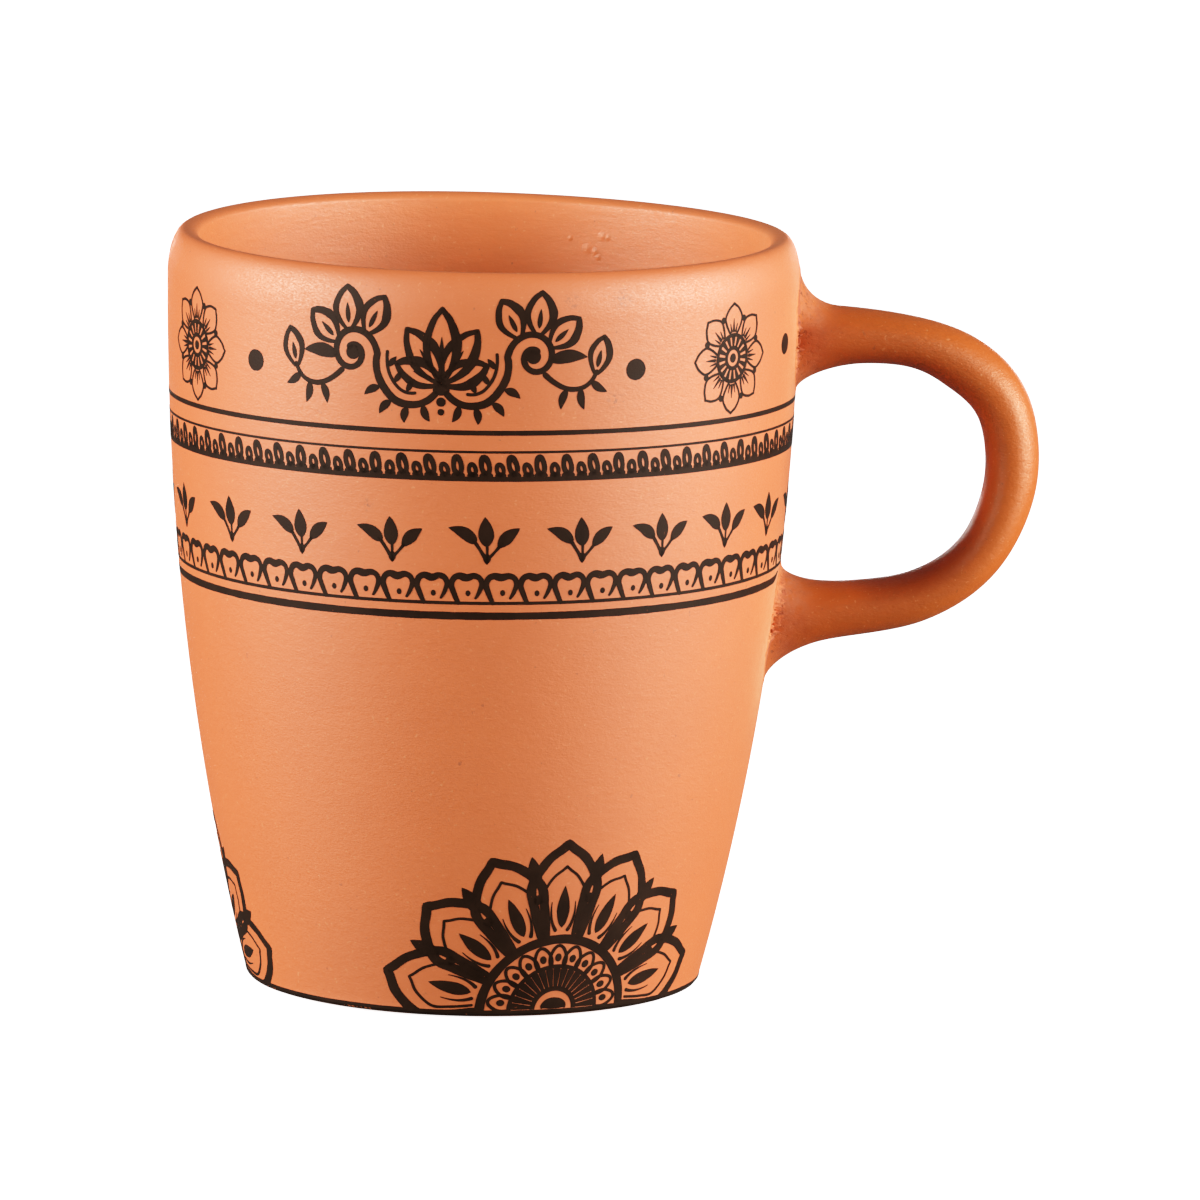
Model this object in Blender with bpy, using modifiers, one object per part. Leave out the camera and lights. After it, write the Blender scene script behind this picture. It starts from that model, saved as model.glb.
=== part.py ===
"""Coffee cup: a turned clay body with a bowed side handle.

The body is a turned shell.  The handle is lofted along its bowed centre line
and flares where it meets the wall.  Between the handle's two ends and the wall
lie thin pads of slip, the clay paste that joins them before firing.
Metres, +Z up.  The cup stands on z = 0, the handle points along +X, and the
origin is the centre of the whole outline on the table.
"""

import math

import bmesh
import bpy
from mathutils import Vector

# ---------------------------------------------------------------- dimensions
MM = 0.001

# body
HEIGHT = 95.4 * MM          # table to the crest of the lip
RIM_RADIUS = 40.0 * MM      # widest outer radius, just under the lip
FOOT_RADIUS = 28.7 * MM     # outer radius where the wall line meets the table
WALL_POWER = 2.2            # how soon the wall curves upright
LIP_HEIGHT = 5.6 * MM       # the lip rolls inward over this height
LIP_INSET = 2.1 * MM        # crest of the lip, in from the widest radius
MOUTH_RADIUS = 36.15 * MM   # inside radius of the mouth
MOUTH_ROLL = 1.0 * MM       # height of the lip's inner rounding
WALL_FOOT = 4.4 * MM        # wall thickness low down
FLOOR_TOP = 6.6 * MM        # inside floor above the table
FLOOR_ROUND = 9.0 * MM      # inside corner between floor and wall
FOOT_ROUND = 0.9 * MM       # outer corner of the foot
FOOT_RING_INNER = 23.4 * MM  # inner edge of the ring the cup stands on
RECESS_DEPTH = 1.9 * MM     # unglazed hollow inside the foot ring
RECESS_SLOPE = 1.3 * MM     # width of the sloping side of that hollow
TURN_STEPS = 72             # facets round the body

# handle: centre line in the X-Z plane as (out from the axis, up, thickness)
HANDLE_STATIONS = (
    (38.5 * MM, 82.6 * MM, 8.7 * MM),
    (52.8 * MM, 82.53 * MM, 6.35 * MM),
    (61.25 * MM, 79.35 * MM, 7.1 * MM),
    (66.2 * MM, 73.7 * MM, 6.95 * MM),
    (67.1 * MM, 64.3 * MM, 6.7 * MM),
    (63.3 * MM, 55.15 * MM, 6.2 * MM),
    (55.5 * MM, 49.66 * MM, 6.35 * MM),
    (43.9 * MM, 47.6 * MM, 7.2 * MM),
    (36.5 * MM, 46.9 * MM, 9.2 * MM),
)
HANDLE_REACH = 70.6 * MM    # axis to the outermost point of the bow
HANDLE_WIDTH = 10.2 * MM    # across, along Y
HANDLE_SQUARE = 2.25        # 2 is an oval section, more is squarer
# root flares as (growth along the wall, reach along the handle)
ROOT_SIDE = (-0.5 * MM, 4.0 * MM)  # the sides neck in a little
UPPER_ABOVE = (4.7 * MM, 5.0 * MM)
UPPER_BELOW = (2.45 * MM, 9.0 * MM)
LOWER_ABOVE = (2.6 * MM, 9.0 * MM)
LOWER_BELOW = (3.75 * MM, 7.1 * MM)
STATION_STEPS = 5           # sections between two stations
SECTION_POINTS = 24         # points round a section
ROOT_DEPTH = 3.5 * MM       # how far the blank runs on inside the wall

# slip pads
GAP = 0.3 * MM              # clearance on each side of a pad
SLIP = 0.5 * MM             # thickness of a pad

AXIS_X = -(HANDLE_REACH - RIM_RADIUS) / 2  # the turning axis from the origin

# ------------------------------------------------------------------ scene
for old in list(bpy.data.objects):
    bpy.data.objects.remove(old, do_unlink=True)


def new_collection(name):
    col = bpy.data.collections.get(name)
    if col is None:
        col = bpy.data.collections.new(name)
        bpy.context.scene.collection.children.link(col)
    return col


PARTS = new_collection("coffee_cup")
CUTTERS = new_collection("cutters")

axis = bpy.data.objects.new("turning_axis", None)
axis.empty_display_size = 0.02
axis.location = (AXIS_X, 0.0, 0.0)
PARTS.objects.link(axis)


def clay(name, colour, roughness):
    mat = bpy.data.materials.new(name)
    mat.use_nodes = True
    shader = mat.node_tree.nodes["Principled BSDF"]
    shader.inputs["Base Color"].default_value = (*colour, 1.0)
    shader.inputs["Roughness"].default_value = roughness
    shader.inputs["Metallic"].default_value = 0.0
    return mat


def add_part(name, mesh, material):
    mesh.materials.append(material)
    mesh.shade_smooth()
    obj = bpy.data.objects.new(name, mesh)
    obj.parent = axis
    PARTS.objects.link(obj)
    return obj


def add_cutter(name, mesh):
    obj = bpy.data.objects.new(name, mesh)
    obj.parent = axis
    obj.hide_render = True
    obj.display_type = "WIRE"
    CUTTERS.objects.link(obj)
    return obj


# ------------------------------------------------------------------ turning
def wall_radius(z):
    """Outer radius of the body's wall at height z."""
    up = min(max(z / HEIGHT, 0.0), 1.0)
    return RIM_RADIUS - (RIM_RADIUS - FOOT_RADIUS) * (1.0 - up) ** WALL_POWER


def inner_radius(z):
    """Inner radius: the wall thins evenly from the floor to the mouth."""
    up = min(max(z / HEIGHT, 0.0), 1.0)
    rim_wall = RIM_RADIUS - MOUTH_RADIUS
    return wall_radius(z) - (WALL_FOOT + (rim_wall - WALL_FOOT) * up)


def spaced(a, b, count):
    return [a + (b - a) * i / count for i in range(count + 1)]


def quarter(count):
    return [0.5 * math.pi * i / count for i in range(count + 1)]


def profile_mesh(name, points):
    """An open chain of (radius, height) points in the X-Z plane."""
    bm = bmesh.new()
    verts = [bm.verts.new((r, 0.0, z)) for r, z in points]
    for a, b in zip(verts, verts[1:]):
        bm.edges.new((a, b))
    mesh = bpy.data.meshes.new(name)
    bm.to_mesh(mesh)
    bm.free()
    return mesh


def turn(obj):
    screw = obj.modifiers.new("turn", "SCREW")
    screw.axis = "Z"
    screw.angle = 2.0 * math.pi
    screw.steps = TURN_STEPS
    screw.render_steps = TURN_STEPS
    screw.use_merge_vertices = True
    screw.merge_threshold = 0.00001
    screw.use_smooth_shade = True
    return screw


def body_profile():
    """From the middle of the inside floor, up, over the lip, down and under."""
    pts = [(0.0, FLOOR_TOP)]
    # inside corner: an elliptical sweep from the floor into the wall
    top = FLOOR_TOP + FLOOR_ROUND
    centre = inner_radius(top) - FLOOR_ROUND
    for a in quarter(6):
        pts.append((centre + FLOOR_ROUND * math.sin(a),
                    top - FLOOR_ROUND * math.cos(a)))
    # inside wall
    for z in spaced(top, HEIGHT - MOUTH_ROLL, 8)[1:]:
        pts.append((inner_radius(z), z))
    # lip: inner rounding to the crest, then the longer outer roll
    crest = RIM_RADIUS - LIP_INSET
    edge = inner_radius(HEIGHT - MOUTH_ROLL)
    for a in quarter(4)[1:]:
        pts.append((crest + (edge - crest) * math.cos(a),
                    HEIGHT - MOUTH_ROLL + MOUTH_ROLL * math.sin(a)))
    shoulder = wall_radius(HEIGHT - LIP_HEIGHT)
    for a in reversed(quarter(5)[:-1]):
        pts.append((crest + (shoulder - crest) * math.cos(a),
                    HEIGHT - LIP_HEIGHT + LIP_HEIGHT * math.sin(a)))
    # outer wall, down to the foot's rounding
    for z in spaced(HEIGHT - LIP_HEIGHT, FOOT_ROUND, 14)[1:]:
        pts.append((wall_radius(z), z))
    foot = wall_radius(FOOT_ROUND) - FOOT_ROUND
    for a in quarter(3)[1:]:
        pts.append((foot + FOOT_ROUND * math.cos(a),
                    FOOT_ROUND - FOOT_ROUND * math.sin(a)))
    # standing ring and the hollow inside it
    pts.append((FOOT_RING_INNER, 0.0))
    pts.append((FOOT_RING_INNER - RECESS_SLOPE, RECESS_DEPTH))
    pts.append((0.0, RECESS_DEPTH))
    return pts


def sleeve_profile(z_low, z_high, near, far):
    """A closed ring section between two offsets of the outer wall."""
    heights = spaced(z_high, z_low, 16)
    pts = [(wall_radius(z) + far, z) for z in heights]
    pts += [(wall_radius(z) + near, z) for z in reversed(heights)]
    pts.append(pts[0])
    return pts


def core_profile(z_low, z_high, off):
    """A solid plug as wide as the outer wall plus an offset."""
    pts = [(0.0, z_high)]
    pts += [(wall_radius(z) + off, z) for z in spaced(z_high, z_low, 32)]
    pts.append((0.0, z_low))
    return pts


# ------------------------------------------------------------------ handle
def station_tangents():
    pts = [Vector(s) for s in HANDLE_STATIONS]
    tan = [None] * len(pts)
    for i in range(1, len(pts) - 1):
        tan[i] = (pts[i + 1] - pts[i - 1]) / 2.0
    tan[0] = 2.0 * (pts[1] - pts[0]) - tan[1]
    tan[-1] = 2.0 * (pts[-1] - pts[-2]) - tan[-2]
    return pts, tan


def centre_line():
    """Smooth (out, up, thickness) samples along the bow, and their tangents."""
    pts, tan = station_tangents()
    line = []
    for i in range(len(pts) - 1):
        for k in range(STATION_STEPS):
            t = k / STATION_STEPS
            h00 = 2 * t ** 3 - 3 * t ** 2 + 1
            h10 = t ** 3 - 2 * t ** 2 + t
            h01 = -2 * t ** 3 + 3 * t ** 2
            h11 = t ** 3 - t ** 2
            line.append(pts[i] * h00 + tan[i] * h10
                        + pts[i + 1] * h01 + tan[i + 1] * h11)
    line.append(pts[-1])
    run_in = tan[0].copy()
    run_in.z = 0.0
    run_in.normalize()
    run_out = tan[-1].copy()
    run_out.z = 0.0
    run_out.normalize()
    line.insert(0, line[0] - run_in * ROOT_DEPTH)
    line.append(line[-1] + run_out * ROOT_DEPTH)
    return line


def section(angle, half_thick, half_wide):
    """Point and outward direction on the rounded section."""
    c, s = math.cos(angle), math.sin(angle)
    e = 2.0 / HANDLE_SQUARE
    p = (math.copysign(abs(c) ** e, c) * half_wide,
         math.copysign(abs(s) ** e, s) * half_thick)
    n = Vector((math.copysign(abs(c) ** (2.0 - e), c) / half_wide,
                math.copysign(abs(s) ** (2.0 - e), s) / half_thick))
    n.normalize()
    return p, n


def flare(distance, size):
    """Sideways growth of a quarter-oval root this far from the wall."""
    grow, reach = size
    k = 1.0 - min(max(distance / reach, 0.0), 1.0)
    return grow * (1.0 - math.sqrt(max(1.0 - k * k, 0.0)))


def handle_mesh(name, line):
    """Loft the section along a run of centre-line samples and close its ends."""
    bm = bmesh.new()
    rings = []
    for i, here in enumerate(line):
        a = line[max(i - 1, 0)]
        b = line[min(i + 1, len(line) - 1)]
        along = Vector((b.x - a.x, b.y - a.y)).normalized()
        outward = Vector((-along.y, along.x))
        upper = here.y > (HANDLE_STATIONS[0][1] + HANDLE_STATIONS[-1][1]) / 2
        ring = []
        for k in range(SECTION_POINTS):
            angle = 2.0 * math.pi * k / SECTION_POINTS
            p, n = section(angle, here.z / 2.0, HANDLE_WIDTH / 2.0)
            # the bow's outward side is above the upper root, below the lower
            if upper:
                size = UPPER_ABOVE if n.y > 0.0 else UPPER_BELOW
            else:
                size = LOWER_BELOW if n.y > 0.0 else LOWER_ABOVE
            size = [s + (v - s) * n.y ** 2 for s, v in zip(ROOT_SIDE, size)]
            grow = 0.0
            for _ in range(6):
                wide = p[0] + n.x * grow
                thick = p[1] + n.y * grow
                x = here.x + outward.x * thick
                z = here.y + outward.y * thick
                gap = math.hypot(x, wide) - wall_radius(z)
                grow = 0.5 * (grow + flare(gap, size))
            ring.append(bm.verts.new((x, wide, z)))
        rings.append(ring)
    count = SECTION_POINTS
    for ra, rb in zip(rings, rings[1:]):
        for k in range(count):
            m = (k + 1) % count
            bm.faces.new((ra[k], ra[m], rb[m], rb[k]))
    bm.faces.new(list(reversed(rings[0])))
    bm.faces.new(rings[-1])
    bmesh.ops.recalc_face_normals(bm, faces=bm.faces)
    mesh = bpy.data.meshes.new(name)
    bm.to_mesh(mesh)
    bm.free()
    return mesh


def boolean(obj, operation, cutter):
    cut = obj.modifiers.new(cutter.name, "BOOLEAN")
    cut.operation = operation
    cut.solver = "EXACT"
    cut.object = cutter
    return cut


# ------------------------------------------------------------------ assembly
CLAY = clay("terracotta_body", (0.52, 0.150, 0.055), 0.46)
CLAY_HANDLE = clay("terracotta_handle", (0.50, 0.140, 0.050), 0.46)
CLAY_SLIP = clay("terracotta_slip", (0.44, 0.125, 0.048), 0.55)

body = add_part("cup_body", profile_mesh("cup_body", body_profile()), CLAY)
turn(body)

LINE = centre_line()
handle = add_part("handle", handle_mesh("handle", LINE), CLAY_HANDLE)
plug = add_cutter("handle_end_cutter", profile_mesh(
    "handle_end_cutter",
    core_profile(20.0 * MM, HEIGHT + 8.0 * MM, 2.0 * GAP + SLIP)))
turn(plug)
boolean(handle, "DIFFERENCE", plug)

ROOTS = (
    ("upper_slip_joint", LINE[:6], 66.0 * MM, HEIGHT + 6.0 * MM),
    ("lower_slip_joint", LINE[-6:], 30.0 * MM, 62.0 * MM),
)
for name, run, low, high in ROOTS:
    pad = add_part(name, handle_mesh(name, run), CLAY_SLIP)
    shell = add_cutter(name + "_sleeve", profile_mesh(
        name + "_sleeve", sleeve_profile(low, high, GAP, GAP + SLIP)))
    turn(shell)
    boolean(pad, "INTERSECT", shell)
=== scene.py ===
"""Looks of a terracotta coffee cup with a printed ornament, on a plain pale floor."""

import math

import bmesh
import bpy
import numpy as np
from mathutils import Matrix, Vector


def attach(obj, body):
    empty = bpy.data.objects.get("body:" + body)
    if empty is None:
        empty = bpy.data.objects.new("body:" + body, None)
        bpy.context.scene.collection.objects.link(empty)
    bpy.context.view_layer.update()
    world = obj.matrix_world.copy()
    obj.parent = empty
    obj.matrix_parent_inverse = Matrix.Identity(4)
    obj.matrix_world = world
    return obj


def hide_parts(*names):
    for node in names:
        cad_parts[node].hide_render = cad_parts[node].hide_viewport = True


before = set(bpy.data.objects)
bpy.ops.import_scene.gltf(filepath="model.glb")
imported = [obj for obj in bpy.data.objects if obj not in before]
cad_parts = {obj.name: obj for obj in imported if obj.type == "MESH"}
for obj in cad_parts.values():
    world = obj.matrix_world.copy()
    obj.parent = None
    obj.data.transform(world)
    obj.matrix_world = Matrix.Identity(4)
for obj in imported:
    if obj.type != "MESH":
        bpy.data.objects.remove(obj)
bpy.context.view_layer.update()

MM = 0.001

# ------------------------------------------------------------------ sizes, mm
HEIGHT = 95.4
RIM_RADIUS = 40.0
FOOT_RADIUS = 28.7
WALL_POWER = 2.2
LIP_HEIGHT = 5.6
LIP_INSET = 2.1
MOUTH_RADIUS = 36.15
MOUTH_ROLL = 1.0
WALL_FOOT = 4.4
FLOOR_TOP = 6.6
FLOOR_ROUND = 9.0
FOOT_ROUND = 0.9
FOOT_RING_INNER = 23.4
RECESS_DEPTH = 1.9
RECESS_SLOPE = 1.3
HANDLE_REACH = 70.6
AXIS_X = -(HANDLE_REACH - RIM_RADIUS) / 2.0

STATIONS = np.array([
    (38.5, 82.6, 8.7), (52.8, 82.53, 6.35), (61.25, 79.35, 7.1),
    (66.2, 73.7, 6.95), (67.1, 64.3, 6.7), (63.3, 55.15, 6.2),
    (55.5, 49.66, 6.35), (43.9, 47.6, 7.2), (36.5, 46.9, 9.2)])
HANDLE_WIDTH = 10.2
HANDLE_SQUARE = 2.25
# root flares as (growth along the wall, reach along the handle)
ROOT_SIDE = (-0.5, 4.0)
UPPER_ABOVE, UPPER_BELOW = (4.7, 5.0), (2.45, 9.0)
LOWER_ABOVE, LOWER_BELOW = (2.6, 9.0), (3.75, 7.1)


# ------------------------------------------------------------------ helpers
def to_world(p):
    """Points in mm about the turning axis, as metres in the frame."""
    q = np.asarray(p, dtype=float) * MM
    q[..., 0] += AXIS_X * MM
    return q


def new_mesh(name, verts, faces, smooth=True):
    mesh = bpy.data.meshes.new(name)
    mesh.from_pydata([tuple(v) for v in verts], [], faces)
    mesh.validate()
    bm = bmesh.new()
    bm.from_mesh(mesh)
    bmesh.ops.recalc_face_normals(bm, faces=bm.faces)
    bm.to_mesh(mesh)
    bm.free()
    mesh.update()
    if smooth:
        mesh.polygons.foreach_set("use_smooth", [True] * len(mesh.polygons))
    obj = bpy.data.objects.new(name, mesh)
    bpy.context.scene.collection.objects.link(obj)
    return obj


def paint(obj, name, values):
    """A number for each point, which a material reads by name."""
    layer = obj.data.attributes.new(name, "FLOAT", "POINT")
    layer.data.foreach_set("value", np.asarray(values, dtype=np.float32))


def smooth(a, b, x):
    t = np.clip((np.asarray(x, dtype=float) - a) / (b - a), 0.0, 1.0)
    return t * t * (3.0 - 2.0 * t)


def wave(x, seed):
    """A repeatable wavy number between about -1 and 1, of period 2 pi."""
    x = np.asarray(x, dtype=float)
    return (np.sin(x + seed) + 0.6 * np.sin(2 * x + 1.7 * seed)
            + 0.4 * np.sin(5 * x + 2.9 * seed)
            + 0.25 * np.sin(8 * x + 0.6 * seed)) / 2.25


def ragged(x, seed, low, high):
    """A repeatable rough number of about unit size, of period 2 pi."""
    x = np.asarray(x, dtype=float)
    total = np.zeros_like(x)
    for k in range(low, high):
        total += np.sin(k * x + 9.0 * math.sin(k * 12.9898 + seed))
    return total * math.sqrt(2.0 / (high - low))


# ------------------------------------------------------------------ the wall
def wall_radius(z):
    up = np.clip(np.asarray(z, dtype=float) / HEIGHT, 0.0, 1.0)
    return RIM_RADIUS - (RIM_RADIUS - FOOT_RADIUS) * (1.0 - up) ** WALL_POWER


def inner_radius(z):
    up = np.clip(np.asarray(z, dtype=float) / HEIGHT, 0.0, 1.0)
    rim_wall = RIM_RADIUS - MOUTH_RADIUS
    return wall_radius(z) - (WALL_FOOT + (rim_wall - WALL_FOOT) * up)


def skin_radius(z):
    """Outer radius with the rolled lip and the rounded foot."""
    z = np.asarray(z, dtype=float)
    r = wall_radius(z)
    low = HEIGHT - LIP_HEIGHT
    crest = RIM_RADIUS - LIP_INSET
    t = np.clip((z - low) / LIP_HEIGHT, 0.0, 1.0)
    lip = crest + (wall_radius(low) - crest) * np.sqrt(np.clip(1 - t * t, 0, 1))
    r = np.where(z > low, lip, r)
    base = wall_radius(FOOT_ROUND) - FOOT_ROUND
    k = np.clip((FOOT_ROUND - z) / FOOT_ROUND, 0.0, 1.0)
    foot = base + FOOT_ROUND * np.sqrt(np.clip(1 - k * k, 0, 1))
    return np.where(z < FOOT_ROUND, foot, r)


def sag(phi, z):
    """The rim of a fired cup is never quite level: mm up at this place."""
    p = np.radians(phi)
    return (0.21 * np.sin(2 * p) * (1 - np.cos(p)) / 2
            * smooth(0.45 * HEIGHT, HEIGHT, z))


def skin(phi, z, off=0.0):
    """Points on the outside; phi in degrees from the front, + to the handle."""
    phi = np.asarray(phi, dtype=float)
    z = np.asarray(z, dtype=float)
    d = 0.02
    slope = (skin_radius(np.minimum(z + d, HEIGHT - 0.001))
             - skin_radius(np.maximum(z - d, 0.001))) / (2 * d)
    n = np.sqrt(1 + slope * slope)
    r = skin_radius(z) + off / n
    zz = z - off * slope / n + sag(phi, z)
    p = np.radians(phi)
    return np.stack([r * np.sin(p), -r * np.cos(p), zz], axis=-1)


# ------------------------------------------------------------------ body
def arc(count):
    return np.linspace(0.0, 0.5 * math.pi, count + 1)


def body_profile():
    pts = []
    for r in np.linspace(0.0, 1.0, 9)[:-1]:
        pts.append((r, FLOOR_TOP))
    top = FLOOR_TOP + FLOOR_ROUND
    centre = float(inner_radius(top)) - FLOOR_ROUND
    pts = [(centre * r, FLOOR_TOP + 0.25 * (1 - r) ** 2) for r, _ in pts]
    for a in arc(16):
        pts.append((centre + FLOOR_ROUND * math.sin(a),
                    top - FLOOR_ROUND * math.cos(a)))
    for z in np.linspace(top, HEIGHT - MOUTH_ROLL, 44)[1:]:
        pts.append((float(inner_radius(z)), z))
    crest = RIM_RADIUS - LIP_INSET
    edge = float(inner_radius(HEIGHT - MOUTH_ROLL))
    for a in arc(14)[1:]:
        pts.append((crest + (edge - crest) * math.cos(a),
                    HEIGHT - MOUTH_ROLL + MOUTH_ROLL * math.sin(a)))
    shoulder = float(wall_radius(HEIGHT - LIP_HEIGHT))
    for a in arc(18)[::-1][1:]:
        pts.append((crest + (shoulder - crest) * math.cos(a),
                    HEIGHT - LIP_HEIGHT + LIP_HEIGHT * math.sin(a)))
    for z in np.linspace(HEIGHT - LIP_HEIGHT, FOOT_ROUND, 88)[1:]:
        pts.append((float(wall_radius(z)), z))
    base = float(wall_radius(FOOT_ROUND)) - FOOT_ROUND
    for a in arc(8)[1:]:
        pts.append((base + FOOT_ROUND * math.cos(a),
                    FOOT_ROUND - FOOT_ROUND * math.sin(a)))
    pts.append((FOOT_RING_INNER + 0.35, 0.0))
    for a in arc(4)[1:]:
        pts.append((FOOT_RING_INNER + 0.35 - 0.35 * math.sin(a),
                    0.35 - 0.35 * math.cos(a)))
    inner = FOOT_RING_INNER - RECESS_SLOPE
    for t in np.linspace(0.0, 1.0, 7)[1:]:
        pts.append((FOOT_RING_INNER + (inner - FOOT_RING_INNER) * t,
                    0.35 + (RECESS_DEPTH - 0.35) * math.sin(t * math.pi / 2)))
    for r in np.linspace(inner, 0.0, 10)[1:]:
        pts.append((r, RECESS_DEPTH))
    return np.array(pts)


def make_body(steps=288):
    prof = body_profile()
    phi = np.arange(steps) * 360.0 / steps
    p = np.radians(phi)
    verts, faces = [], []
    first = (0.0, 0.0, prof[0][1])
    last = (0.0, 0.0, prof[-1][1])
    ring = prof[1:-1]
    grid = np.zeros((len(ring), steps, 3))
    for i, (r, z) in enumerate(ring):
        grid[i, :, 0] = r * np.sin(p)
        grid[i, :, 1] = -r * np.cos(p)
        grid[i, :, 2] = z + sag(phi, z)
    verts = [first] + [tuple(v) for v in grid.reshape(-1, 3)] + [last]
    at = lambda i, k: 1 + i * steps + k % steps
    for k in range(steps):
        faces.append((0, at(0, k), at(0, k + 1)))
        faces.append((len(verts) - 1, at(len(ring) - 1, k + 1),
                      at(len(ring) - 1, k)))
    for i in range(len(ring) - 1):
        for k in range(steps):
            faces.append((at(i, k), at(i + 1, k), at(i + 1, k + 1),
                          at(i, k + 1)))
    obj = new_mesh("turned_cup_body", to_world(np.array(verts)), faces)
    # one on the inside, fading out over the mouth's edge
    crest = int(np.argmax(ring[:, 1]))
    inside = np.clip((crest - np.arange(len(ring))) / 14.0, 0.0, 1.0)
    paint(obj, "inside", np.r_[1.0, np.repeat(inside, steps), 0.0])
    # painted light: the inside is painted palest on the side across from the front
    pale = 0.62 + 0.38 * smooth(0.72, 1.0, -np.cos(p))
    paint(obj, "pale", np.r_[0.62, np.outer(inside, pale).reshape(-1), 0.0])
    return obj


# ------------------------------------------------------------------ handle
def handle_line(steps):
    """Smooth samples (out, up, thickness) along the bow."""
    k = STATIONS
    m = np.zeros_like(k)
    m[1:-1] = (k[2:] - k[:-2]) / 2
    m[0] = 2 * (k[1] - k[0]) - m[1]
    m[-1] = 2 * (k[-1] - k[-2]) - m[-2]
    out = []
    for i in range(len(k) - 1):
        for t in np.arange(steps) / steps:
            out.append(k[i] * (2 * t ** 3 - 3 * t ** 2 + 1)
                       + m[i] * (t ** 3 - 2 * t ** 2 + t)
                       + k[i + 1] * (-2 * t ** 3 + 3 * t ** 2)
                       + m[i + 1] * (t ** 3 - t ** 2))
    out.append(k[-1])
    return np.array(out)


def flare(d, grow, reach):
    """Sideways growth of a quarter-oval root this far from the wall."""
    k = 1.0 - np.clip(d / reach, 0.0, 1.0)
    return grow * (1.0 - np.sqrt(np.clip(1.0 - k * k, 0.0, None)))


def handle_rings(points=72):
    """Rings of points along the bow; the end rings lie on the wall."""
    line = handle_line(60)
    tan = np.gradient(line[:, :2], axis=0)
    tan /= np.linalg.norm(tan, axis=1)[:, None]
    ext = 4.0
    head = [np.r_[line[0, :2] - tan[0] * s, line[0, 2]]
            for s in np.linspace(ext, 0, 24)[:-1]]
    tail = [np.r_[line[-1, :2] + tan[-1] * s, line[-1, 2]]
            for s in np.linspace(0, ext, 24)[1:]]
    line = np.array(head + list(line) + tail)
    tan = np.gradient(line[:, :2], axis=0)
    tan /= np.linalg.norm(tan, axis=1)[:, None]
    nor = np.stack([-tan[:, 1], tan[:, 0]], axis=-1)
    step = np.linalg.norm(np.diff(line[:, :2], axis=0), axis=1)
    arcs = np.r_[0.0, np.cumsum(step)]

    ang = np.arange(points) * 2 * math.pi / points
    e = 2.0 / HANDLE_SQUARE
    c, s = np.cos(ang), np.sin(ang)
    cs = np.sign(c) * np.abs(c) ** e
    ss = np.sign(s) * np.abs(s) ** e
    nx = np.sign(c) * np.abs(c) ** (2 - e) / (HANDLE_WIDTH / 2)
    ny = np.sign(s) * np.abs(s) ** (2 - e) / 3.4
    nn = np.hypot(nx, ny)
    nx, ny = nx / nn, ny / nn

    def at(arclen, upper):
        """Points for one arc length per section angle, and the wall distance."""
        x = np.interp(arclen, arcs, line[:, 0])
        z = np.interp(arclen, arcs, line[:, 1])
        th = np.interp(arclen, arcs, line[:, 2])
        ox = np.interp(arclen, arcs, nor[:, 0])
        oz = np.interp(arclen, arcs, nor[:, 1])
        outer, inner = ((UPPER_ABOVE, UPPER_BELOW) if upper
                        else (LOWER_BELOW, LOWER_ABOVE))
        size = [s + np.where(ny > 0, o - s, i - s) * ny ** 2
                for s, o, i in zip(ROOT_SIDE, outer, inner)]
        near = np.zeros(points)
        grow = np.zeros(points)
        for _ in range(40):
            w = cs * HANDLE_WIDTH / 2 + nx * grow
            t = ss * th / 2 + ny * grow
            px, pz = x + ox * t, z + oz * t
            near = np.hypot(px, w) - skin_radius(pz)
            grow = 0.6 * grow + 0.4 * flare(near, *size)
        return np.stack([px, w, pz], axis=-1), near

    total = arcs[-1]
    rings = []
    gaps = np.array([-0.12, 0.0, 0.04, 0.1, 0.18, 0.3, 0.45, 0.65, 0.9, 1.2,
                     1.6, 2.1, 2.7, 3.4, 4.2, 5.1])

    def solve(gap, upper):
        """Slide each point along the bow until it is this far off the wall."""
        if upper:
            lo, hi = np.zeros(points), np.full(points, 16.0)
        else:
            lo, hi = np.full(points, total), np.full(points, total - 16.0)
        for _ in range(34):
            mid = (lo + hi) / 2
            _, near = at(mid, upper)
            out = near > gap
            hi = np.where(out, mid, hi)
            lo = np.where(out, lo, mid)
        return (lo + hi) / 2

    up_arcs = [solve(g, True) for g in gaps]
    down_arcs = [solve(g, False) for g in gaps]
    a0, a1 = up_arcs[-1], down_arcs[-1]
    where = [(a, True) for a in up_arcs]
    mids = 110
    for i in range(1, mids):
        t = i / mids
        a = a0 + (a1 - a0) * t
        where.append((a, t < 0.5))
    where += [(a, False) for a in down_arcs[::-1]]
    dist = []
    for a, upper in where:
        p, near = at(a, upper)
        rings.append(p)
        dist.append(near)
    return np.array(rings), np.array(dist), ny


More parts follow.
